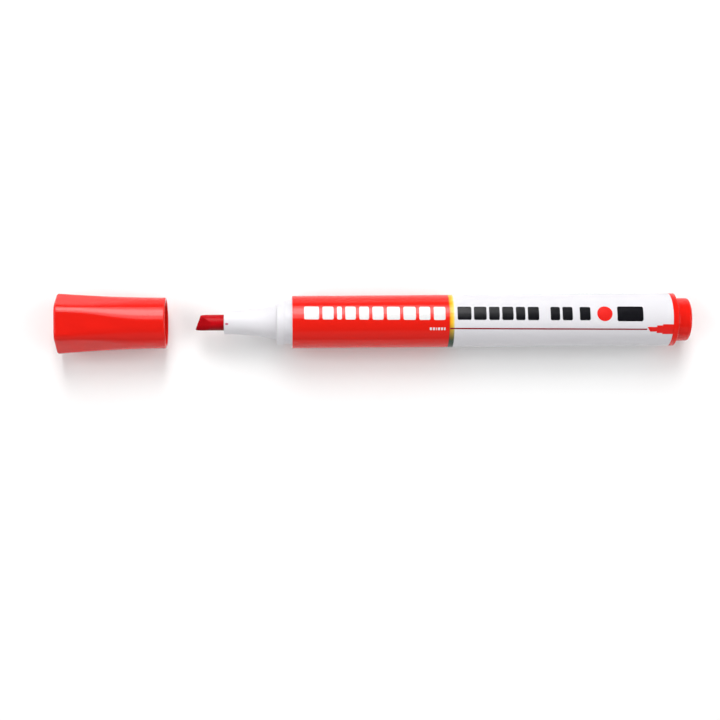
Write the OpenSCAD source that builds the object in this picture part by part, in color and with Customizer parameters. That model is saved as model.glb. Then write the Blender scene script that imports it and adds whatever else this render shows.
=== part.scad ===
// Whiteboard marker with a chisel nib, cap taken off and lying in line with the pen.
// Millimetres. +X runs along the pen towards its tail, +Z is up.
// The origin is on the pen's axis, halfway along the barrel.

/* [Barrel] */
// Length of the barrel tube
barrel_len = 104.4; // [90:0.1:120]
// Diameter over the printed sleeve
sleeve_d = 14.6; // [13.8:0.1:16]
// Thickness of the printed sleeve
sleeve_t = 0.2; // [0.2:0.05:0.3]
// Wall thickness of the barrel tube
barrel_wall = 1.2; // [1:0.1:1.6]
// Bare tube that shows in front of the sleeve
bare_front = 0.3; // [0.2:0.1:1]
// Chamfer round the front rim of the tube
rim_chamfer = 0.25; // [0.1:0.05:0.5]

/* [Printed sleeve] */
// Where the coloured ring starts, behind the barrel's front end
ring_start = 43.2; // [30:0.1:60]
// Width of the coloured ring
ring_w = 1.4; // [1:0.1:4]

/* [Front section] */
// Diameter of the collar that the cap slides over
collar_d = 12; // [11:0.1:12.4]
// Length of the collar
collar_len = 4.1; // [4:0.1:6]
// Height of the snap bead above the collar
bead_h = 0.2; // [0.1:0.05:0.3]
// Width of the snap bead
bead_w = 1.9; // [1:0.1:2.5]
// Length of the snout in front of the collar
snout_len = 14.5; // [10:0.1:18]
// Diameter of the snout at its tip
snout_tip_d = 6.5; // [5.8:0.1:7]
// Diameter of the snout where it meets the collar
snout_base_d = 9.7; // [8.5:0.1:9.8]
// Length of the spigot inside the barrel
spigot_len = 10; // [8:0.5:14]
// Depth of the seat that holds the reservoir's front end
front_seat = 5; // [3:0.5:6]

/* [Nib] */
// Diameter of the fibre nib
nib_d = 4.4; // [4:0.05:4.6]
// Length of nib in front of the snout
nib_out = 8; // [6:0.1:8]
// Length of nib that reaches into the reservoir
nib_into_core = 6; // [4:0.5:8]
// Angle between each chisel face and the pen's axis
chisel_angle = 30; // [20:1:45]
// Slant of the chisel edge from square
chisel_slant = 19; // [0:1:30]
// Turn of the chisel about the pen's axis, upper face towards -Y
chisel_turn = 35; // [0:1:60]
// Width of the blunt land along the chisel edge
chisel_land = 0.5; // [0.2:0.1:1]

/* [Reservoir] */
// Diameter over the reservoir's film
reservoir_d = 10.7; // [10:0.1:11]
// Thickness of the reservoir's film
film_t = 0.15; // [0.1:0.05:0.3]

/* [Tail plug] */
// Thickness of the plug's flange
flange_t = 1.5; // [0.8:0.1:2]
// Height of the cone between flange and boss
flange_cone = 0.5; // [0.3:0.1:1]
// Diameter of the boss at the tail
boss_d = 11.9; // [11:0.1:12.5]
// Length of the whole plug behind the barrel
plug_out = 5.8; // [4.5:0.1:7]
// Edge radius round the end of the boss
boss_round = 0.7; // [0.3:0.1:1]
// Length of the plug's spigot inside the barrel
plug_spigot = 8; // [6:0.5:12]
// Depth of the seat that holds the reservoir's rear end
rear_seat = 3; // [2:0.5:5]

/* [Cap] */
// Length of the cap
cap_len = 30.4; // [29:0.1:36]
// Diameter of the cap at its mouth
cap_mouth_d = 14.2; // [14:0.1:15]
// Growth of the cap's radius from mouth to closed end
cap_flare = 1.3; // [0.5:0.1:2]
// How sharply the flare gathers at the closed end
flare_power = 1.8; // [1:0.1:3]
// Size of the hexagon in the closed end's rounded outline, 0 for a round cap
cap_hexagon = 5; // [0:0.25:6]
// Edge radius round the closed end
cap_round = 0.7; // [0.3:0.1:1]
// Thickness of the cap's end wall
cap_end_wall = 1.5; // [1:0.1:2]
// Clearance between the cap's bore and the snap bead
cap_gap = 0.05; // [0.02:0.01:0.1]
// Wall thickness of the sealing cup inside the cap
seal_wall = 0.7; // [0.5:0.05:0.9]
// Distance of the laid-off cap from the barrel
cap_travel = 34.6; // [31:0.1:60]

/* [Hidden] */

$fn = 96;
eps = 0.01;

sleeve_r = sleeve_d / 2;
tube_r = sleeve_r - sleeve_t;
tube_bore_r = tube_r - barrel_wall;
front_x = -barrel_len / 2;
rear_x = barrel_len / 2;

ring_x = front_x + ring_start;
collar_r = collar_d / 2;
bead_r = collar_r + bead_h;
collar_x = front_x - collar_len;
snout_x = collar_x - snout_len;
spigot_x = front_x + spigot_len;
snout_steps = 14;
groove_w = 0.5;
groove_depth = 0.45;
groove_count = 4;

nib_r = nib_d / 2;
nib_tip_x = snout_x - nib_out;
nib_taper = 2;
nib_tail_r = 0.6;

reservoir_r = reservoir_d / 2;
core_r = reservoir_r - film_t;
core_front_x = spigot_x - front_seat;
core_rear_x = rear_x - plug_spigot + rear_seat;
nib_tail_x = core_front_x + nib_into_core;

boss_r = boss_d / 2;
tail_x = rear_x + plug_out;
plug_cavity_r = reservoir_r - 1;
plug_end_wall = 1.4;
dome_h = 0.25;

cap_mouth_x = front_x - cap_travel;
cap_mouth_r = cap_mouth_d / 2;
cap_bore_r = bead_r + cap_gap;
cap_bore_depth = cap_len - cap_end_wall;
mouth_chamfer = 0.25;
cap_corner_sides = 12;
cap_sides = 6 * cap_corner_sides;
cap_rings = 11;
round_rings = 4;
hexagon_from = 0.15;
hexagon_full = 0.9;
seal_depth = collar_len + cap_gap;
seal_rim_len = 2;
seal_body_r = cap_bore_r - 0.6;
seal_bore_r = seal_body_r - seal_wall;
seal_end_gap = 0.3;

// Turns a shape drawn along Z so that it runs along +X from the given place.
module along_x(x) {
    translate([x, 0, 0]) rotate([0, 90, 0]) children();
}

// Solid of revolution about the pen's axis: points are [radius, distance along X].
module turned(points) {
    along_x(0) rotate_extrude() polygon(points);
}

// Ring of the given radii from x0 to x1.
module tube(outer_r, inner_r, x0, x1) {
    turned([[inner_r, x0], [outer_r, x0], [outer_r, x1], [inner_r, x1]]);
}

module barrel() {
    color("white")
        turned([
            [tube_bore_r, front_x],
            [tube_r - rim_chamfer, front_x],
            [tube_r, front_x + rim_chamfer],
            [tube_r, rear_x],
            [tube_bore_r, rear_x]
        ]);
}

module sleeve_front() {
    color("red") tube(sleeve_r, tube_r, front_x + bare_front, ring_x);
}

module sleeve_ring() {
    color("gold") tube(sleeve_r, tube_r, ring_x, ring_x + ring_w);
}

module sleeve_rear() {
    color("whitesmoke") tube(sleeve_r, tube_r, ring_x + ring_w, rear_x);
}

// Radius of the snout at a share t of its length, 0 at the tip and 1 at the collar:
// nearly straight in front, then a smooth flare.
function snout_r(t) =
    snout_tip_d / 2 + (snout_base_d - snout_tip_d) / 2 * (0.08 * t + 0.92 * pow(t, 2.4));

// Grooves beside the nib that let air back into the reservoir.
module breather_grooves() {
    for (i = [0 : groove_count - 1])
        rotate([i * 360 / groove_count + 45, 0, 0])
            translate([snout_x - eps, -groove_w / 2, nib_r - eps])
                cube([core_front_x - snout_x + 2 * eps, groove_w, groove_depth + eps]);
}

// Collar, snap bead, snout and spigot in one moulding.
module front_section() {
    bead_x = collar_x + 0.35;
    snout = [for (i = [0 : snout_steps]) let(t = i / snout_steps)
        [snout_r(t), snout_x + t * snout_len]];
    color("ghostwhite")
        difference() {
            turned(concat(
                [[nib_r, snout_x]],
                snout,
                [
                    [collar_r - 0.3, collar_x],
                    [bead_r - 0.1, bead_x - 0.15],
                    [bead_r, bead_x + 0.1],
                    [bead_r, bead_x + bead_w - 0.35],
                    [collar_r, bead_x + bead_w],
                    [collar_r, front_x],
                    [tube_bore_r, front_x],
                    [tube_bore_r, spigot_x],
                    [reservoir_r, spigot_x],
                    [reservoir_r, core_front_x],
                    [nib_r, core_front_x]
                ]
            ));
            breather_grooves();
        }
}

// Half-space beyond one chisel face. side is 1 for the upper face and -1 for the lower one.
module chisel_cut(side) {
    big = 4 * nib_d;
    rotate([chisel_turn, 0, 0])
        translate([nib_tip_x + nib_r * tan(chisel_slant), 0, 0])
            rotate([0, 0, -chisel_slant])
                translate([0, 0, side * chisel_land / 2])
                    rotate([0, side * -chisel_angle, 0])
                        translate([-big, -big, side > 0 ? 0 : -big])
                            cube([2 * big, 2 * big, big]);
}

// Flat slanted end that leaves the chisel edge blunt.
module land_cut() {
    big = 4 * nib_d;
    rotate([chisel_turn, 0, 0])
        translate([nib_tip_x + nib_r * tan(chisel_slant), 0, 0])
            rotate([0, 0, -chisel_slant])
                translate([-2 * big, -big, -big])
                    cube(2 * big);
}

// Stem of the nib, with the pointed tail that sits in the reservoir.
module nib_stem() {
    turned([
        [0, nib_tip_x - 1],
        [nib_r, nib_tip_x - 1],
        [nib_r, nib_tail_x - nib_taper],
        [nib_tail_r, nib_tail_x],
        [0, nib_tail_x]
    ]);
}

module nib() {
    color("crimson")
        difference() {
            nib_stem();
            chisel_cut(1);
            chisel_cut(-1);
            land_cut();
        }
}

module reservoir_core() {
    color("mistyrose")
        difference() {
            along_x(core_front_x) cylinder(r = core_r, h = core_rear_x - core_front_x);
            nib_stem();
        }
}

module reservoir_film() {
    color("lightgrey") tube(reservoir_r, core_r, core_front_x, core_rear_x);
}

// Flange, cone and boss outside, hollow spigot inside the barrel.
module tail_plug() {
    round_steps = 5;
    boss_edge = [for (i = [0 : round_steps]) let(a = i * 90 / round_steps)
        [boss_r - boss_round + boss_round * cos(a),
         tail_x - dome_h - boss_round + boss_round * sin(a)]];
    color("red")
        turned(concat(
            [
                [reservoir_r, rear_x - plug_spigot],
                [tube_bore_r, rear_x - plug_spigot],
                [tube_bore_r, rear_x],
                [sleeve_r, rear_x],
                [sleeve_r, rear_x + flange_t],
                [boss_r, rear_x + flange_t + flange_cone]
            ],
            boss_edge,
            [
                [boss_r / 2, tail_x - 0.05],
                [0, tail_x],
                [0, tail_x - plug_end_wall],
                [plug_cavity_r, tail_x - plug_end_wall],
                [plug_cavity_r, core_rear_x],
                [reservoir_r, core_rear_x]
            ]
        ));
}

// Point i of a hexagon of the given size rounded by a circle, so that its corners reach r. A flat
// side faces down once the curve stands across the pen.
function rounded_hexagon_point(r, size, i) =
    let(corner = 60 * floor(i / cap_corner_sides) + 30,
        a = corner + (i % cap_corner_sides + 0.5 - cap_corner_sides / 2) * 60 / cap_corner_sides,
        round_r = r - size)
    [round_r * cos(a) + size * cos(corner), round_r * sin(a) + size * sin(corner)];

// Corner radius and hexagon size of the cap at a share t of its length from the mouth.
function cap_r(t) = cap_mouth_r + cap_flare * pow(t, flare_power);
function cap_hex(t) =
    let(u = min(1, max(0, (t - hexagon_from) / (hexagon_full - hexagon_from))))
    cap_hexagon * u * u * (3 - 2 * u);

// Rings of the cap's outside as [distance from the mouth, corner radius, hexagon size].
function cap_profile() = concat(
    [for (i = [0 : cap_rings]) let(s = i / cap_rings * (cap_len - cap_round), t = s / cap_len)
        [s, cap_r(t), cap_hex(t)]],
    [for (i = [1 : round_rings]) let(a = i * 90 / round_rings,
                                     t = (cap_len - cap_round * (1 - sin(a))) / cap_len)
        [t * cap_len, cap_r(t) - cap_round * (1 - cos(a)), cap_hex(t)]]
);

// Outside of the cap as one closed surface, mouth at zero and closed end at cap_len.
module cap_outside() {
    rings = cap_profile();
    count = len(rings);
    points = [for (ring = rings, i = [0 : cap_sides - 1])
        let(p = rounded_hexagon_point(ring[1], ring[2], i))
        [p[0], p[1], -ring[0]]];
    walls = [for (k = [0 : count - 2], i = [0 : cap_sides - 1])
        let(j = (i + 1) % cap_sides, lo = k * cap_sides, hi = lo + cap_sides)
        each [[lo + i, lo + j, hi + j], [lo + i, hi + j, hi + i]]];
    mouth = [for (i = [cap_sides - 1 : -1 : 0]) i];
    end = [for (i = [0 : cap_sides - 1]) (count - 1) * cap_sides + i];
    polyhedron(points, concat(walls, [mouth, end]));
}

// Outer cap: round at the mouth, rounded hexagon at the closed end so that it can't roll.
module cap_shell() {
    color("red")
        difference() {
            along_x(cap_mouth_x) cap_outside();
            along_x(cap_mouth_x - cap_bore_depth) cylinder(r = cap_bore_r, h = cap_len);
            along_x(cap_mouth_x - mouth_chamfer)
                cylinder(r1 = cap_bore_r, r2 = cap_bore_r + mouth_chamfer, h = mouth_chamfer + eps);
        }
}

// Sealing cup held in the cap, whose rim closes against the collar's front face.
module cap_seal() {
    rim_x = cap_mouth_x - seal_depth;
    end_x = cap_mouth_x - cap_bore_depth + seal_end_gap;
    color("seashell")
        turned([
            [0, end_x],
            [seal_body_r - 0.5, end_x],
            [seal_body_r, end_x + 0.5],
            [seal_body_r, rim_x - seal_rim_len],
            [cap_bore_r, rim_x - seal_rim_len],
            [cap_bore_r, rim_x],
            [seal_bore_r + 0.3, rim_x],
            [seal_bore_r, rim_x - 0.3],
            [seal_bore_r, end_x + seal_wall],
            [0, end_x + seal_wall]
        ]);
}

barrel();
sleeve_front();
sleeve_ring();
sleeve_rear();
front_section();
nib();
reservoir_core();
reservoir_film();
tail_plug();
cap_shell();
cap_seal();
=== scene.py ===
import math

import bmesh
import bpy
from mathutils import Matrix, Vector


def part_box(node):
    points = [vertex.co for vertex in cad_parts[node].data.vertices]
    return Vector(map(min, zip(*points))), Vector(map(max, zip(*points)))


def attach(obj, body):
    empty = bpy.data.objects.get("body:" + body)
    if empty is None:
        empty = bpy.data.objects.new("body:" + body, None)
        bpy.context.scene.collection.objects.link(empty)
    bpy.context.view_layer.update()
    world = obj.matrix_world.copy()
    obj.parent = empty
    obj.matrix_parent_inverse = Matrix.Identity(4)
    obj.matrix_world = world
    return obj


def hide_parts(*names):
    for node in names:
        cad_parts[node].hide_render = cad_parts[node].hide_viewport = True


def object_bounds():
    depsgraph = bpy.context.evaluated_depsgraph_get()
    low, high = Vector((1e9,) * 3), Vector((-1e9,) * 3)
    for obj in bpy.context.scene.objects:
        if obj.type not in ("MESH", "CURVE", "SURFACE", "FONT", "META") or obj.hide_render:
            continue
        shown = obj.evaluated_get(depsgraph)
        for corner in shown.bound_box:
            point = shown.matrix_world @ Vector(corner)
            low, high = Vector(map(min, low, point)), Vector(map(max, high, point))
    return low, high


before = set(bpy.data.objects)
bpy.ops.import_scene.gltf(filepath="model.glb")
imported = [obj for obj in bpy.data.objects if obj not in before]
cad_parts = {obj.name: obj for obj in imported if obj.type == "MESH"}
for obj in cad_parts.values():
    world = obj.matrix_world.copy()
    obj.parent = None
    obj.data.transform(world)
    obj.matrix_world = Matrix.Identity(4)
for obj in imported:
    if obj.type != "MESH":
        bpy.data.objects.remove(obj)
cad_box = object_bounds()

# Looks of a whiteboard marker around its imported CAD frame. The pen lies along X with its nib
# towards -X. Sizes in this file are in millimetres, and MM turns them into Blender's metres.
MM = 0.001
SIDES = 180          # sides of every round piece, 2 degrees each
CORNER_SIDES = SIDES // 6
SHARP_ANGLE = 32     # degrees between faces above which an edge stays sharp
SUPPORT = 0.06       # from a corner to the extra point that keeps the shading beside it flat
FLOOR_GAP = 0.02     # keeps the pen from touching the floor's own surface


# ---------------------------------------------------------------- sizes read from the frame

def ends(node):
    """Front end, rear end and top of a CAD node."""
    low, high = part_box(node)
    return low.x / MM, high.x / MM, high.z / MM


BARREL_FRONT, BARREL_REAR, TUBE_R = ends("barrel")
RING_FRONT, SLEEVE_R = ends("sleeve_front")[1:]
RING_REAR = ends("sleeve_ring")[1]
SNOUT_TIP, SPIGOT_REAR, BEAD_R = ends("front_section")
NIB_TIP, NIB_TAIL, NIB_R = ends("nib")
PLUG_FRONT, TAIL_END, FLANGE_R = ends("tail_plug")
CAP_END, CAP_MOUTH = ends("cap_shell")[:2]
SEAL_END, SEAL_RIM, CAP_BORE_R = ends("cap_seal")
RESERVOIR_FRONT, RESERVOIR_REAR, RESERVOIR_R = ends("reservoir_film")
BARREL_WALL = 1.2
TUBE_BORE_R = TUBE_R - BARREL_WALL
FLOOR_Z = cad_box[0].z - FLOOR_GAP * MM


# ---------------------------------------------------------------- camera, as the photograph

CAMERA_HEIGHT = 410
CAMERA_X = -56
CAMERA_Y = -20
FIELD_WIDTH = 200    # width of the picture at the height of the pen's axis
PICTURE_X = -33.2    # middle of the picture, which lies beside the point below the camera
PICTURE_Y = -10.5
CAMERA_ROLL = -0.4
SENSOR = 36
CLIP_START = 10


def make_camera():
    """Looks straight down, from the place that gives the photograph's perspective."""
    data = bpy.data.cameras.new("camera")
    data.sensor_width = SENSOR
    data.lens = SENSOR * CAMERA_HEIGHT / FIELD_WIDTH
    data.shift_x = (PICTURE_X - CAMERA_X) / FIELD_WIDTH
    data.shift_y = (PICTURE_Y - CAMERA_Y) / FIELD_WIDTH
    data.clip_start = CLIP_START * MM
    camera = bpy.data.objects.new("camera", data)
    camera.location = Vector((CAMERA_X, CAMERA_Y, CAMERA_HEIGHT)) * MM
    camera.rotation_euler = (0, 0, math.radians(CAMERA_ROLL))
    bpy.context.scene.collection.objects.link(camera)
    bpy.context.scene.camera = camera


make_camera()


# ---------------------------------------------------------------- mesh tools

def arc(x, r, radius, start, end, steps=6):
    """Points along an arc round (x, r). Angles are in degrees from +X towards larger r."""
    angles = [math.radians(start + (end - start) * i / steps) for i in range(steps + 1)]
    return [(x + radius * math.cos(a), r + radius * math.sin(a)) for a in angles]


def supported(profile, closed):
    """Adds a point just inside both ends of each long straight run, which keeps shading flat."""
    points = []
    count = len(profile)
    for i, (x, r) in enumerate(profile):
        points.append((x, r))
        if i == count - 1 and not closed:
            break
        nx, nr = profile[(i + 1) % count]
        length = math.hypot(nx - x, nr - r)
        if length > 5 * SUPPORT:
            for t in (SUPPORT / length, 1 - SUPPORT / length):
                points.append((x + (nx - x) * t, r + (nr - r) * t))
    return points


def new_object(name, mesh):
    """Object in the scene that shows the mesh."""
    piece = bpy.data.objects.new(name, mesh)
    bpy.context.scene.collection.objects.link(piece)
    return piece


def mesh_from(name, points, faces):
    """Closed smooth-shaded mesh from points in millimetres, with outward faces."""
    mesh = bpy.data.meshes.new(name)
    mesh.from_pydata([Vector(p) * MM for p in points], [], faces)
    bm = bmesh.new()
    bm.from_mesh(mesh)
    bmesh.ops.recalc_face_normals(bm, faces=bm.faces)
    bm.to_mesh(mesh)
    bm.free()
    mesh.shade_smooth()
    mesh.set_sharp_from_angle(angle=math.radians(SHARP_ANGLE))
    return mesh


def skin(name, rings, closed):
    """One surface through a row of rings. A ring with a single point is a pole."""
    points, starts = [], []
    for ring in rings:
        starts.append(len(points))
        points += ring
    faces = []
    pairs = list(zip(range(len(rings)), range(1, len(rings))))
    if closed:
        pairs.append((len(rings) - 1, 0))
    for a, b in pairs:
        sa, sb = starts[a], starts[b]
        na, nb = len(rings[a]), len(rings[b])
        for i in range(max(na, nb)):
            j = (i + 1) % max(na, nb)
            if na == 1:
                faces.append((sa, sb + i, sb + j))
            elif nb == 1:
                faces.append((sa + i, sb, sa + j))
            else:
                faces.append((sa + i, sb + i, sb + j, sa + j))
    return new_object(name, mesh_from(name, points, faces))


def ring(x, r, hexagon=0.0, groove=None):
    """Ring across the pen whose corners reach r: a hexagon of the given size, rounded by a
    circle, with flat sides up and down. Without a hexagon it is a circle. groove is a function
    of the angle that adds to the radius."""
    if r <= 0:
        return [(x, 0, 0)]
    points = []
    for i in range(SIDES):
        corner = 60 * (i // CORNER_SIDES) + 30
        turn = corner + (i % CORNER_SIDES + 0.5 - CORNER_SIDES / 2) * 360 / SIDES
        a, c = math.radians(turn), math.radians(corner)
        round_r = r - hexagon + (groove(a) if groove else 0)
        down = round_r * math.cos(a) + hexagon * math.cos(c)
        left = round_r * math.sin(a) + hexagon * math.sin(c)
        points.append((x, left, -down))
    return points


def revolve(name, profile, closed=True):
    """Solid of revolution about the pen's axis. The profile closes on itself, or else it
    starts and ends on the axis."""
    rings = [ring(x, r) for x, r in supported(profile, closed)]
    return skin(name, rings, closed)


# ---------------------------------------------------------------- material tools

class Nodes:
    """Small helper round one material's node tree."""

    def __init__(self, name):
        self.material = bpy.data.materials.new(name)
        self.material.use_nodes = True
        self.tree = self.material.node_tree
        self.shader = self.tree.nodes["Principled BSDF"]
        self.place = self.add("ShaderNodeTexCoord").outputs["Object"]

    def add(self, kind, **settings):
        node = self.tree.nodes.new(kind)
        for key, value in settings.items():
            setattr(node, key, value)
        return node

    def link(self, source, target):
        self.tree.links.new(source, target)

    def scaled(self, scale):
        """Object coordinates in millimetres, then multiplied by scale along each axis."""
        mapping = self.add("ShaderNodeMapping")
        mapping.inputs["Scale"].default_value = [s / MM for s in scale]
        self.link(self.place, mapping.inputs["Vector"])
        return mapping.outputs["Vector"]

    def noise(self, scale, detail=3.0, roughness=0.5):
        """Noise between 0 and 1. scale is in cycles per millimetre along each axis."""
        node = self.add("ShaderNodeTexNoise")
        node.inputs["Scale"].default_value = 1.0
        node.inputs["Detail"].default_value = detail
        node.inputs["Roughness"].default_value = roughness
        self.link(self.scaled(scale), node.inputs["Vector"])
        return node.outputs["Fac"]

    def fit(self, value, low, high, start=0.0, end=1.0):
        """Maps a value from low..high to start..end."""
        node = self.add("ShaderNodeMapRange")
        for key, number in zip(("From Min", "From Max", "To Min", "To Max"), (low, high, start, end)):
            node.inputs[key].default_value = number
        self.link(value, node.inputs["Value"])
        return node.outputs["Result"]

    def mix(self, factor, first, second):
        """Colour between first and second."""
        node = self.add("ShaderNodeMix", data_type="RGBA")
        self.link(factor, node.inputs["Factor"])
        for socket, colour in ((node.inputs[6], first), (node.inputs[7], second)):
            if isinstance(colour, tuple):
                socket.default_value = (*colour, 1)
            else:
                self.link(colour, socket)
        return node.outputs[2]

    def bump(self, height, depth):
        """Bump of the given depth in millimetres."""
        node = self.add("ShaderNodeBump")
        node.inputs["Strength"].default_value = 1.0
        node.inputs["Distance"].default_value = depth * MM
        self.link(height, node.inputs["Height"])
        self.link(node.outputs["Normal"], self.shader.inputs["Normal"])

    def axis(self, name):
        """Object coordinate along one axis, in metres."""
        split = self.add("ShaderNodeSeparateXYZ")
        self.link(self.place, split.inputs["Vector"])
        return split.outputs[name]

    def set(self, **values):
        """Sets inputs of the shader, whose names are written with underscores."""
        for key, value in values.items():
            socket = self.shader.inputs[key.replace("_", " ")]
            if isinstance(value, bpy.types.NodeSocket):
                self.link(value, socket)
            elif isinstance(value, tuple) and len(value) == 3 and socket.type == "RGBA":
                socket.default_value = (*value, 1)
            else:
                socket.default_value = value


def shade(colour, factor):
    """The same colour, lighter or darker."""
    return tuple(c * factor for c in colour)


def moulded(name, colour, roughness, ior=1.42):
    """Moulded plastic: faint flow marks in the colour, uneven polish, slight orange peel."""
    n = Nodes(name)
    flow = n.noise((0.12, 0.35, 0.35), detail=4)
    n.set(Base_Color=n.mix(n.fit(flow, 0.3, 0.7), shade(colour, 0.96), shade(colour, 1.03)))
    n.set(Roughness=n.fit(n.noise((1.5, 1.5, 1.5)), 0.3, 0.7, roughness * 0.85, roughness * 1.15))
    n.set(IOR=ior)
    n.bump(n.noise((1.1, 1.1, 1.1), detail=2), 0.004)
    return n


def printed(name, colour, roughness=0.1, ior=1.35):
    """Printed film: flat ink with a very fine screen and a smooth varnish."""
    n = Nodes(name)
    screen = n.noise((9, 9, 9), detail=1)
    n.set(Base_Color=n.mix(n.fit(screen, 0.3, 0.7), shade(colour, 0.975), shade(colour, 1.015)))
    n.set(Roughness=n.fit(n.noise((0.6, 1.2, 1.2)), 0.3, 0.7, roughness * 0.85, roughness * 1.2))
    n.set(IOR=ior)
    n.bump(n.noise((0.35, 0.8, 0.8), detail=2), 0.003)
    return n


RED = (0.70, 0.009, 0.004)
WHITE = (0.68, 0.67, 0.70)
SEAL_WHITE = (0.72, 0.70, 0.66)
PRINT_RED = (0.70, 0.010, 0.004)
SLEEVE_WHITE = (0.66, 0.65, 0.68)
PRINT_WHITE = (0.70, 0.69, 0.69)
PRINT_DARK = (0.003, 0.003, 0.005)
ACCENT_RED = (0.70, 0.012, 0.008)
LINE_RED = (0.22, 0.008, 0.016)
# painted shade for the ring's side that faces -Y
RING_PAINTED_SHADE = (0.02, 0.05, 0.03)
# painted shade for the nib's side that faces -Y
NIB_PAINTED_SHADE = (0.20, 0.001, 0.004)
STAIN = (0.42, 0.06, 0.13)
STAIN_PLACE = (-70.0, -0.55, 3.2)
STAIN_SIZE = (0.42, 0.28, 0.4)


def stained(n, place, size):
    """Adds a small ink stain at a place on the surface, with a ragged edge."""
    offset = n.add("ShaderNodeVectorMath", operation="SUBTRACT")
    offset.inputs[1].default_value = [c * MM for c in place]
    n.link(n.place, offset.inputs[0])
    stretch = n.add("ShaderNodeVectorMath", operation="MULTIPLY")
    stretch.inputs[1].default_value = [1 / (c * MM) for c in size]
    n.link(offset.outputs["Vector"], stretch.inputs[0])
    reach = n.add("ShaderNodeVectorMath", operation="LENGTH")
    n.link(stretch.outputs["Vector"], reach.inputs[0])
    ragged = n.add("ShaderNodeMath", operation="ADD")
    n.link(reach.outputs["Value"], ragged.inputs[0])
    n.link(n.noise((3, 3, 3)), ragged.inputs[1])
    clean = n.shader.inputs["Base Color"].links[0].from_socket
    n.set(Base_Color=n.mix(n.fit(ragged.outputs["Value"], 1.2, 1.7), STAIN, clean))
    return n


def ring_material():
    """Ring that runs from brown-orange through yellow to cream along the pen, with painted shade
    that turns it dark green at the side that faces -Y."""
    n = printed("ring_ink", (0.9, 0.6, 0.1))
    ramp = n.add("ShaderNodeValToRGB")
    stops = [(0.0, (0.48, 0.05, 0.002)), (0.22, (0.80, 0.36, 0.015)), (0.5, (0.80, 0.46, 0.02)),
             (0.8, (0.78, 0.56, 0.09)), (1.0, (0.76, 0.68, 0.40))]
    ramp.color_ramp.elements[0].color = (*stops[0][1], 1)
    ramp.color_ramp.elements[1].color = (*stops[-1][1], 1)
    for position, colour in stops[1:-1]:
        ramp.color_ramp.elements.new(position).color = (*colour, 1)
    n.link(n.fit(n.axis("X"), RING_FRONT * MM, RING_REAR * MM), ramp.inputs["Fac"])
    # painted shade: the ring darkens to green towards its side that faces -Y
    side = n.fit(n.axis("Y"), -0.12 * SLEEVE_R * MM, -0.78 * SLEEVE_R * MM)
    n.set(Base_Color=n.mix(side, ramp.outputs["Color"], RING_PAINTED_SHADE))
    return n


def nib_material():
    """Pressed fibre soaked with ink: fine lengthwise fibres, with painted shade that darkens the
    side that faces -Y."""
    n = Nodes("inked_fibre")
    fibre = n.noise((1.2, 14, 14), detail=5, roughness=0.6)
    soak = n.noise((0.5, 0.9, 0.9), detail=3)
    ink = n.mix(n.fit(soak, 0.35, 0.65), (0.48, 0.002, 0.006), (0.62, 0.005, 0.012))
    fibres = n.mix(n.fit(fibre, 0.35, 0.7), (0.40, 0.002, 0.005), ink)
    # painted shade: the nib darkens towards its side that faces -Y
    painted_shade = n.fit(n.axis("Y"), -0.3 * NIB_R * MM, -NIB_R * MM)
    n.set(Base_Color=n.mix(painted_shade, fibres, NIB_PAINTED_SHADE))
    n.set(Roughness=n.fit(fibre, 0.3, 0.7, 0.2, 0.3))
    n.set(IOR=1.17)
    n.bump(fibre, 0.02)
    return n


def core_material():
    """Bundle of crimped fibres soaked with ink, paler towards its rear end."""
    n = Nodes("reservoir_fibre")
    along = n.fit(n.axis("X"), RESERVOIR_FRONT * MM, RESERVOIR_REAR * MM)
    fibre = n.noise((0.3, 6, 6), detail=5)
    wet = n.mix(n.fit(fibre, 0.3, 0.7), (0.45, 0.01, 0.02), (0.7, 0.04, 0.05))
    n.set(Base_Color=n.mix(along, wet, (0.80, 0.35, 0.35)))
    n.set(Roughness=n.fit(fibre, 0.3, 0.7, 0.6, 0.85))
    n.bump(fibre, 0.15)
    return n


def film_material():
    """Thin clear film, creased along the reservoir."""
    n = Nodes("clear_film")
    crease = n.noise((0.05, 1.5, 1.5), detail=3)
    n.set(Base_Color=n.mix(crease, (0.80, 0.62, 0.62), (0.90, 0.80, 0.80)))
    n.set(Roughness=n.fit(crease, 0.3, 0.7, 0.1, 0.25))
    n.set(IOR=1.5, Alpha=0.45)
    n.bump(crease, 0.08)
    return n


def dress(piece, nodes):
    """Gives the piece one material in place of any it has."""
    piece.data.materials.clear()
    piece.data.materials.append(nodes.material)


red_plastic = moulded("red_plastic", RED, 0.12, ior=1.35)
white_plastic = moulded("white_plastic", WHITE, 0.32, ior=1.3)
snout_plastic = stained(moulded("snout_plastic", WHITE, 0.32, ior=1.3), STAIN_PLACE, STAIN_SIZE)
seal_plastic = moulded("seal_plastic", SEAL_WHITE, 0.42)
sleeve_red = printed("red_ink_zone", PRINT_RED)
sleeve_white = printed("white_ink_zone", SLEEVE_WHITE, 0.14, ior=1.25)
ink_white = printed("white_print", PRINT_WHITE, 0.2)
ink_dark = printed("dark_print", PRINT_DARK, 0.2, ior=1.3)
ink_red = printed("red_print", ACCENT_RED, 0.2)
ink_line = printed("line_print", LINE_RED, 0.2)


# ---------------------------------------------------------------- pieces

def finish_piece(piece, material, body, slot, *nodes):
    """Gives the piece its material and body, and hides the CAD nodes it stands for. slot is not used.
    """
    dress(piece, material)
    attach(piece, body)
    if nodes:
        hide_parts(*nodes)


def make_barrel():
    """Moulded tube, whose rounded front edge shows before the sleeve as a thin light line."""
    rim, edge = 0.25, 0.08
    front = arc(BARREL_FRONT + rim, TUBE_R - rim, rim, 180, 90)
    profile = [(BARREL_FRONT, TUBE_BORE_R + edge), *front, (BARREL_REAR, TUBE_R),
               (BARREL_REAR, TUBE_BORE_R), (BARREL_FRONT + edge, TUBE_BORE_R)]
    finish_piece(revolve("barrel_tube", profile), white_plastic, "pen", "white_plastic", "barrel")


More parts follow.
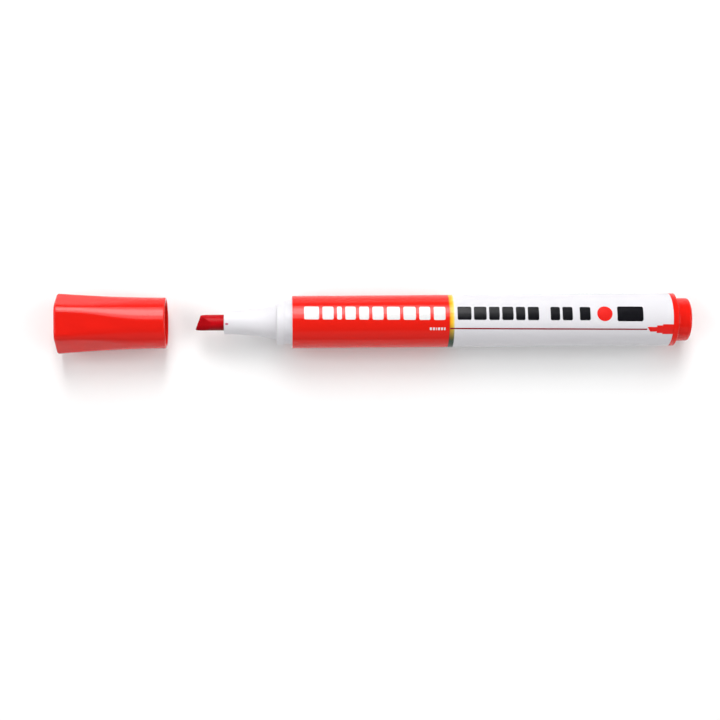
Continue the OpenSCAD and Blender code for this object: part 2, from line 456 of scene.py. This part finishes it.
def make_sleeve():
    """The printed sleeve, one piece for each printed zone. Only its own two ends are softened."""
    edge = 0.05
    zones = (
        ("sleeve_red_zone", "sleeve_front", sleeve_red, "sleeve_red"),
        ("sleeve_ring_zone", "sleeve_ring", ring_material(), "sleeve_ring"),
        ("sleeve_white_zone", "sleeve_rear", sleeve_white, "sleeve_white"),
    )
    for name, node, material, slot in zones:
        x0, x1 = ends(node)[:2]
        front, rear = [(x0, SLEEVE_R)], [(x1, SLEEVE_R)]
        if node == "sleeve_front":
            front = [(x0, SLEEVE_R - edge), (x0 + edge, SLEEVE_R)]
        if node == "sleeve_rear":
            rear = [(x1 - edge, SLEEVE_R), (x1, SLEEVE_R - edge)]
        profile = [(x0, TUBE_R), *front, *rear, (x1, TUBE_R)]
        finish_piece(revolve(name, profile), material, "pen", slot, node)


SNOUT_LEN = 14.5
SNOUT_TIP_R = 3.25
SNOUT_BASE_R = 4.85
COLLAR_R = 6.0
COLLAR_FRONT = SNOUT_TIP + SNOUT_LEN
BEAD_REAR = COLLAR_FRONT + 2.25
GROOVE_DEPTH = 0.45
GROOVE_HALF = 6.5    # degrees


def snout_radius(t):
    """Radius of the snout at a share t of its length: nearly straight, then a smooth flare."""
    return SNOUT_TIP_R + (SNOUT_BASE_R - SNOUT_TIP_R) * (0.08 * t + 0.92 * t ** 2.4)


def groove_depth(angle):
    """Four breather grooves beside the nib, between the pen's sides and its top and bottom."""
    quarter = math.pi / 2
    off_centre = abs((angle % quarter) - quarter / 2)
    return GROOVE_DEPTH if off_centre < math.radians(GROOVE_HALF) else 0.0


def make_front_section():
    """Snout, collar, snap bead and spigot, with a grooved bore for the nib."""
    tip, steps = 0.2, 24
    flare_end, bead_round, bead_slope, collar_blend = 0.25, 0.45, 0.35, 0.2
    outside = arc(SNOUT_TIP + tip, snout_radius(0) - tip, tip, 180, 90, 5)
    outside += [(SNOUT_TIP + SNOUT_LEN * t, snout_radius(t))
                for t in [0.03 + 0.95 * i / steps for i in range(steps + 1)]]
    outside += arc(COLLAR_FRONT - flare_end, SNOUT_BASE_R + 0.2, flare_end, -60, 0, 4)
    outside += arc(COLLAR_FRONT + bead_round, BEAD_R - bead_round, bead_round, 180, 90, 6)
    outside += [(BEAD_REAR - bead_slope, BEAD_R)]
    outside += arc(BEAD_REAR + 0.15, COLLAR_R + collar_blend, collar_blend, -140, -90, 4)
    outside += [(BARREL_FRONT, COLLAR_R), (BARREL_FRONT, TUBE_BORE_R), (SPIGOT_REAR, TUBE_BORE_R)]
    inside = [(SPIGOT_REAR, RESERVOIR_R), (RESERVOIR_FRONT, RESERVOIR_R)]
    rings = [ring(x, r) for x, r in supported(outside + inside, False)]
    bore = [(RESERVOIR_FRONT, NIB_R), (SNOUT_TIP + 0.3, NIB_R), (SNOUT_TIP, NIB_R)]
    rings += [ring(x, r, groove=groove_depth) for x, r in bore]
    piece = skin("nib_holder", rings, True)
    finish_piece(piece, snout_plastic, "pen", "white_plastic", "front_section")


CHISEL_ANGLE = 30    # degrees from the pen's axis to each chisel face
CHISEL_SLANT = 19    # degrees by which the edge slants across the pen
CHISEL_TURN = 35     # degrees by which the chisel is turned about the pen's axis
CHISEL_LAND = 0.5    # thickness left at the edge
NIB_TAPER = 2
NIB_TAIL_R = 0.6
NIB_SOFTENED = 0.14
SOFTEN_ANGLE = 20
SAME_POINT = 0.0005  # points closer than this are joined


def chisel_planes():
    """Point and outward normal of the land and of the two chisel faces."""
    turn = Matrix.Rotation(math.radians(CHISEL_TURN), 3, "X")
    slant = Matrix.Rotation(math.radians(-CHISEL_SLANT), 3, "Z")
    middle = Vector((NIB_TIP + NIB_R * math.tan(math.radians(CHISEL_SLANT)), 0, 0))
    planes = [(turn @ middle, turn @ slant @ Vector((-1, 0, 0)))]
    lean = math.radians(CHISEL_ANGLE)
    for side in (1, -1):
        normal = slant @ Vector((-math.sin(lean), 0, side * math.cos(lean)))
        planes.append((turn @ (middle + Vector((0, 0, side * CHISEL_LAND / 2))), turn @ normal))
    return planes


def make_nib():
    """Fibre rod cut to a chisel, with softened edges and a pointed tail in the reservoir."""
    start = NIB_TIP - 1
    profile = [(start, 0), (start, NIB_R), (NIB_TAIL - NIB_TAPER, NIB_R), (NIB_TAIL, NIB_TAIL_R),
               (NIB_TAIL, 0)]
    piece = revolve("chisel_nib", profile, closed=False)
    mesh = piece.data
    bm = bmesh.new()
    bm.from_mesh(mesh)
    for point, normal in chisel_planes():
        geometry = bm.verts[:] + bm.edges[:] + bm.faces[:]
        cut = bmesh.ops.bisect_plane(bm, geom=geometry, dist=1e-7, plane_co=point * MM,
                                     plane_no=normal, clear_outer=True)
        rim = [e for e in cut["geom_cut"] if isinstance(e, bmesh.types.BMEdge)]
        bmesh.ops.contextual_create(bm, geom=rim)
    bmesh.ops.recalc_face_normals(bm, faces=bm.faces)
    bm.to_mesh(mesh)
    bm.free()
    mesh.shade_smooth()
    soften = piece.modifiers.new("softened_edges", "BEVEL")
    soften.width = NIB_SOFTENED * MM
    soften.segments = 3
    soften.limit_method = "ANGLE"
    soften.angle_limit = math.radians(SOFTEN_ANGLE)
    soften.harden_normals = True
    weld = piece.modifiers.new("joined_points", "WELD")
    weld.merge_threshold = SAME_POINT * MM
    finish_piece(piece, nib_material(), "pen", "nib_fibre", "nib")


FLANGE_T = 1.5
FLANGE_CONE = 0.5
FLANGE_REAR = BARREL_REAR + FLANGE_T
BOSS_FRONT = FLANGE_REAR + FLANGE_CONE
BOSS_R = 5.95
BOSS_ROUND = 0.7
DOME_H = 0.25
PLUG_END_WALL = 1.4


def make_plug():
    """Flange, cone and boss behind the barrel, and the hollow spigot inside it."""
    chamfer, edge, blend = 0.05, 0.18, 0.35
    outside = [(BARREL_REAR, TUBE_BORE_R), (BARREL_REAR, FLANGE_R - chamfer),
               (BARREL_REAR + chamfer, FLANGE_R)]
    outside += arc(FLANGE_REAR - edge, FLANGE_R - edge, edge, 90, 28, 5)
    outside += arc(BOSS_FRONT + blend * 0.6, BOSS_R + blend, blend, 215, 270, 5)
    outside += arc(TAIL_END - DOME_H - BOSS_ROUND, BOSS_R - BOSS_ROUND, BOSS_ROUND, 90, 8, 10)
    outside += [(TAIL_END - 0.16, 4.2), (TAIL_END - 0.05, 2.2), (TAIL_END, 0)]
    wall = TAIL_END - PLUG_END_WALL
    cavity_r = RESERVOIR_R - 1
    corner, lead_in = 0.6, 0.3
    inside = [(wall, 0), (wall, cavity_r - corner), (wall - corner, cavity_r),
              (RESERVOIR_REAR, cavity_r), (RESERVOIR_REAR, RESERVOIR_R),
              (PLUG_FRONT, RESERVOIR_R), (PLUG_FRONT, TUBE_BORE_R - lead_in),
              (PLUG_FRONT + lead_in, TUBE_BORE_R)]
    profile = supported(outside, False) + supported(inside, False)
    piece = skin("end_plug", [ring(x, r) for x, r in profile], True)
    finish_piece(piece, red_plastic, "pen", "red_plastic", "tail_plug")


CAP_LEN = CAP_MOUTH - CAP_END
CAP_MOUTH_R = 7.1
CAP_FLARE = 1.3      # growth of the corners' radius from the mouth to the closed end
FLARE_POWER = 1.8
CAP_HEXAGON = 5      # size of the hexagon inside the rounded corners, at the closed end
HEXAGON_FROM = 0.15  # shares of the cap's length, from the mouth, between which it grows
HEXAGON_FULL = 0.9
CAP_ROUND = 0.7
CAP_END_WALL = 1.5
CAP_STEPS = 48
MOUTH_ROUND = 0.45
MOUTH_CHAMFER = 0.25
DIMPLE_R = 1
DIMPLE_DEPTH = 0.12


def cap_ring(distance, inset=0.0):
    """Ring of the cap's outside at a distance from its mouth, drawn in by inset."""
    t = distance / CAP_LEN
    u = min(1, max(0, (t - HEXAGON_FROM) / (HEXAGON_FULL - HEXAGON_FROM)))
    radius = CAP_MOUTH_R + CAP_FLARE * t ** FLARE_POWER - inset
    return ring(CAP_MOUTH - distance, radius, CAP_HEXAGON * u * u * (3 - 2 * u))


def rounding(radius, steps):
    """Pairs for a rounded edge, from its end face to its side: how far each ring lies from the
    end, and how far it is drawn in."""
    angles = [math.pi / 2 * i / steps for i in range(steps + 1)]
    return [(radius * (1 - math.cos(a)), radius * (1 - math.sin(a))) for a in angles]


def make_cap():
    """Round at the mouth, rounded hexagon at the closed end, with a true round bore."""
    dimple_floor = CAP_END + DIMPLE_DEPTH
    rings = [[(dimple_floor, 0, 0)], ring(dimple_floor, 0.8), ring(CAP_END, DIMPLE_R)]
    rings += [ring(CAP_END, r, CAP_HEXAGON * r / (CAP_MOUTH_R + CAP_FLARE)) for r in (2.5, 4.5, 6.5)]
    rings += [cap_ring(CAP_LEN, CAP_ROUND + SUPPORT)]
    rings += [cap_ring(CAP_LEN - back, inset) for back, inset in rounding(CAP_ROUND, 8)]
    body = CAP_LEN - CAP_ROUND
    rings += [cap_ring(body - SUPPORT)]
    rings += [cap_ring(body * (1 - i / CAP_STEPS)) for i in range(1, CAP_STEPS)]
    rings += [cap_ring(MOUTH_ROUND + SUPPORT)]
    rings += [ring(CAP_MOUTH - back, CAP_MOUTH_R - inset)
              for back, inset in reversed(rounding(MOUTH_ROUND, 8))]
    bore_end = CAP_END + CAP_END_WALL
    inner = [(CAP_MOUTH, CAP_BORE_R + MOUTH_CHAMFER), (CAP_MOUTH - MOUTH_CHAMFER, CAP_BORE_R),
             (bore_end, CAP_BORE_R), (bore_end, 0)]
    rings += [ring(x, r) for x, r in supported(inner, False)]
    finish_piece(skin("cap_body", rings, False), red_plastic, "cap", "red_plastic", "cap_shell")


def make_seal():
    """Sealing cup that shows inside the cap's mouth."""
    wall, rim_len = 0.7, 2
    end_round, rim_edge, lip = 0.5, 0.15, 0.3
    body_r = CAP_BORE_R - 0.6
    bore_r = body_r - wall
    floor = SEAL_END + wall
    profile = [(SEAL_END, 0),
               *arc(SEAL_END + end_round, body_r - end_round, end_round, 180, 90, 5),
               (SEAL_RIM - rim_len, body_r), (SEAL_RIM - rim_len, CAP_BORE_R),
               *arc(SEAL_RIM - rim_edge, CAP_BORE_R - rim_edge, rim_edge, 90, 0, 4),
               *arc(SEAL_RIM - lip, bore_r + lip, lip, 0, -90, 5),
               *arc(floor + end_round, bore_r - end_round, end_round, 90, 180, 5), (floor, 0)]
    piece = revolve("cap_liner", profile, closed=False)
    finish_piece(piece, seal_plastic, "cap", "seal_plastic", "cap_seal")


make_barrel()
make_sleeve()
make_front_section()
make_nib()
make_plug()
make_cap()
make_seal()
dress(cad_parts["reservoir_core"], core_material())
dress(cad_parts["reservoir_film"], film_material())


# ---------------------------------------------------------------- print on the sleeve

PRINT_H = 0.02       # how far the print stands above the sleeve
BEND_STEP = 0.3      # distance between the cuts along which a flat outline is bent
PRINT_SKEW = -0.09   # the print runs slightly round the barrel, in degrees per millimetre
SKEW_X = -30.0       # where a row lies at its own angle


def rounded_rect(x0, x1, s0, s1, radius):
    """Outline of a rectangle with rounded corners."""
    radius = min(radius, (x1 - x0) / 2 - 0.01, (s1 - s0) / 2 - 0.01)
    corners = ((x1 - radius, s1 - radius, 0), (x0 + radius, s1 - radius, 90),
               (x0 + radius, s0 + radius, 180), (x1 - radius, s0 + radius, 270))
    outline = []
    for cx, cs, start in corners:
        outline += arc(cx, cs, radius, start, start + 90, 4)
    return outline


def circle(cx, cs, radius, steps=40):
    """Outline of a circle."""
    return arc(cx, cs, radius, 0, 360 * (steps - 1) / steps, steps - 1)


def cut_outlines(shapes):
    """Flat outlines cut into narrow strips: their points, their faces and their outer edges."""
    bm = bmesh.new()
    for outline in shapes:
        bm.faces.new([bm.verts.new((x, s, 0)) for x, s in outline])
    reach = max(abs(s) for outline in shapes for x, s in outline)
    count = int(reach / BEND_STEP) + 1
    for k in range(-count, count + 1):
        geometry = bm.verts[:] + bm.edges[:] + bm.faces[:]
        bmesh.ops.bisect_plane(bm, geom=geometry, dist=1e-5, plane_co=(0, k * BEND_STEP, 0),
                               plane_no=(0, 1, 0))
    bm.verts.index_update()
    flat = [(v.co.x, v.co.y) for v in bm.verts]
    faces = [[v.index for v in face.verts] for face in bm.faces]
    rims = [[v.index for v in edge.verts] for edge in bm.edges if edge.is_boundary]
    bm.free()
    return flat, faces, rims


def wrap_print(name, shapes, angle, material, slot=None):
    """Thin print that follows the sleeve. Shapes are outlines in (distance along X, distance
    round the sleeve), counted from the line at the given angle from straight up."""
    flat, under, rims = cut_outlines(shapes)
    points = []
    for radius in (SLEEVE_R - PRINT_H, SLEEVE_R + PRINT_H):
        for x, s in flat:
            turn = math.radians(angle + PRINT_SKEW * (x - SKEW_X)) + s / SLEEVE_R
            points.append((x, radius * math.sin(turn), radius * math.cos(turn)))
    over = [[i + len(flat) for i in face] for face in under]
    sides = [(i, j, j + len(flat), i + len(flat)) for i, j in rims]
    mesh = mesh_from(name, points, under + over + sides)
    finish_piece(new_object(name, mesh), material, "pen", slot)


def block_row(span, height, widths, gap, radius=0.4):
    """Row of plain blocks in place of lettering, with relative widths that fill the span. A
    negative width leaves a space."""
    start, end = span
    unit = (end - start - gap * (len(widths) - 1)) / sum(abs(w) for w in widths)
    shapes, x = [], start
    for width in widths:
        if width > 0:
            shapes.append(rounded_rect(x, x + unit * width, -height / 2, height / 2, radius))
        x += unit * abs(width) + gap
    return shapes


# Relative widths of the blocks in each row. A negative one leaves a space.
TITLE = (4.6, 3.4, 1.5, 3.2, 3.0, 3.4, 4.0, 3.8, 3.4, 3.6)
WORDS = (4.2, 3.8, 3.2, 3.4, 2.8, 3.4, -0.6)
NUMBER = (2.8, 3.0, -0.6, 3.2)
NOTE = (1.1, 1.0, 0.5, 1.0, 0.9, 0.8)
TITLE_H = 3.8
NOTE_H = 0.75

# Where each row starts and ends along the pen.
TITLE_SPAN = (-48.7, -10.1)
NOTE_SPAN = (-14.4, -10.1)
WORDS_SPAN = (-6.8, 16.7)
NUMBER_SPAN = (18.6, 29.5)
BAR_SPAN = (36.8, 43.9)
DISC_X = 33.4
MARK_R = 2.1

# Degrees from straight up towards +Y, at SKEW_X.
TITLE_ANGLE = 16.1
WORDS_ANGLE = 16.7
LINE_ANGLE = -17.2
NOTE_ANGLE = -18.0
BACK_ANGLE = 108

LINE_HALF = 0.2
LINE_START = RING_FRONT + 0.2
POINTER_START = 45.1
POINTER_SLANT = 0.8
POINTER_GAP = 0.05
FIRST_STEP, SECOND_STEP = 47.7, 49.3
FIRST_HALF, SECOND_HALF, THIRD_HALF = 0.68, 1.12, 1.45
POINTER_END = BARREL_REAR - 0.02

STRIPES = 20
STRIPES_START = 22
STRIPE_PITCH = 1.1
STRIPE_W = 0.5
STRIPE_HALF = 2      # half of its length round the sleeve
BACK_LINE_START = -7
BACK_LINE_END = 17
BACK_LINE_STEP = 5   # by which the outer lines are shorter than the middle one
BACK_LINE_PITCH = 1.1
BACK_LINE_HALF = 0.2


def print_rows():
    """Blocks in place of the lettering, and a disc and a bar in place of the mark."""
    title = block_row(TITLE_SPAN, TITLE_H, TITLE, gap=0.95)
    note = block_row(NOTE_SPAN, NOTE_H, NOTE, gap=0.28, radius=0.12)
    words = block_row(WORDS_SPAN, TITLE_H, WORDS, gap=0.7)
    number = block_row(NUMBER_SPAN, TITLE_H, NUMBER, gap=0.7)
    disc = circle(DISC_X, 0, MARK_R)
    bar = rounded_rect(*BAR_SPAN, -MARK_R, MARK_R, 0.5)
    wrap_print("print_title", title, TITLE_ANGLE, ink_white, "sleeve_white")
    wrap_print("print_note", note, NOTE_ANGLE, ink_white, "sleeve_white")
    wrap_print("print_words", words + number, WORDS_ANGLE, ink_dark)
    wrap_print("print_mark_round", [disc], WORDS_ANGLE, ink_red, "red_plastic")
    wrap_print("print_mark_bar", [bar], WORDS_ANGLE, ink_dark)


def print_pointer_line():
    """Thin line that ends in a stepped pointer at the tail, with a slanted front end."""
    pointer = [(POINTER_START, FIRST_HALF), (FIRST_STEP, FIRST_HALF), (FIRST_STEP, SECOND_HALF),
               (SECOND_STEP, SECOND_HALF), (SECOND_STEP, THIRD_HALF), (POINTER_END, THIRD_HALF)]
    pointer += [(x, -s) for x, s in reversed(pointer)]
    pointer[-1] = (POINTER_START + POINTER_SLANT, -FIRST_HALF)
    line_end = POINTER_START - POINTER_GAP
    line = [(LINE_START, -LINE_HALF), (line_end, -LINE_HALF), (line_end, LINE_HALF),
            (LINE_START, LINE_HALF)]
    wrap_print("print_pointer", [pointer], LINE_ANGLE, ink_red, "red_plastic")
    wrap_print("print_line", [line], LINE_ANGLE, ink_line, "red_plastic")


def print_back():
    """Stripes and three lines on the side turned away."""
    starts = [STRIPES_START + STRIPE_PITCH * i for i in range(STRIPES)]
    stripes = [rounded_rect(x, x + STRIPE_W, -STRIPE_HALF, STRIPE_HALF, 0.05) for x in starts]
    wrap_print("print_back_stripes", stripes, BACK_ANGLE, ink_dark)
    lines = []
    for k in (-1, 0, 1):
        end = BACK_LINE_END - BACK_LINE_STEP * abs(k)
        middle = BACK_LINE_PITCH * k
        lines.append(rounded_rect(BACK_LINE_START, end, middle - BACK_LINE_HALF,
                                  middle + BACK_LINE_HALF, 0.15))
    wrap_print("print_back_lines", lines, BACK_ANGLE, ink_dark)


print_rows()
print_pointer_line()
print_back()


# ---------------------------------------------------------------- stage and light

FLOOR_HALF = 4500
KEY_TARGET = (-77, 0, 0)
FILL_TARGET = (-30, 0, 0)
HORIZON = 0.55       # radiance of the studio's walls at the horizon
OVERHEAD = 0.2       # radiance of its ceiling
CEILING_FROM = 0.35  # sine of the elevation at which the ceiling starts


def make_floor():
    """Plain pale floor under the pen."""
    bm = bmesh.new()
    bmesh.ops.create_grid(bm, x_segments=8, y_segments=8, size=FLOOR_HALF * MM)
    mesh = bpy.data.meshes.new("floor")
    bm.to_mesh(mesh)
    bm.free()
    floor = new_object("floor", mesh)
    floor.location.z = FLOOR_Z
    n = Nodes("floor_paper")
    n.set(Base_Color=n.mix(n.noise((0.02, 0.02, 0.02)), (0.88, 0.88, 0.88), (0.90, 0.90, 0.90)))
    n.set(Roughness=0.9, Specular_IOR_Level=0.1)
    dress(floor, n)


def make_softbox(name, place, size, power, target=FILL_TARGET):
    """Rectangular soft light of the given watts, aimed at its target. It isn't seen itself."""
    data = bpy.data.lights.new(name, "AREA")
    data.shape = "RECTANGLE"
    data.size, data.size_y = size[0] * MM, size[1] * MM
    data.energy = power
    light = bpy.data.objects.new(name, data)
    light.location = Vector(place) * MM
    aim = Vector(target) * MM - light.location
    light.rotation_euler = aim.to_track_quat("-Z", "Y").to_euler()
    light.visible_camera = False
    bpy.context.scene.collection.objects.link(light)


def make_world():
    """Dim studio overhead that brightens to a pale horizon."""
    world = bpy.data.worlds.new("studio")
    bpy.context.scene.world = world
    world.use_nodes = True
    tree = world.node_tree
    place = tree.nodes.new("ShaderNodeTexCoord")
    split = tree.nodes.new("ShaderNodeSeparateXYZ")
    ramp = tree.nodes.new("ShaderNodeMapRange")
    settings = {"From Min": 0, "From Max": CEILING_FROM, "To Min": HORIZON, "To Max": OVERHEAD}
    for key, value in settings.items():
        ramp.inputs[key].default_value = value
    tree.nodes["Background"].inputs["Color"].default_value = (1, 1, 1, 1)
    tree.links.new(place.outputs["Generated"], split.inputs["Vector"])
    tree.links.new(split.outputs["Z"], ramp.inputs["Value"])
    tree.links.new(ramp.outputs["Result"], tree.nodes["Background"].inputs["Strength"])


make_floor()
make_softbox("key", (-77, 685, 729), (400, 1100), 5.0, KEY_TARGET)
make_softbox("key_middle", (-77, 707, 707), (400, 500), 3.9, KEY_TARGET)
make_softbox("left_fill", (-3400, 0, 3400), (3600, 3600), 90)
make_softbox("right_fill", (3400, 0, 3400), (3600, 3600), 90)
make_softbox("back_fill", (-30, -3600, 2080), (6000, 2400), 16)
make_world()
bpy.context.scene.view_settings.view_transform = "Standard"
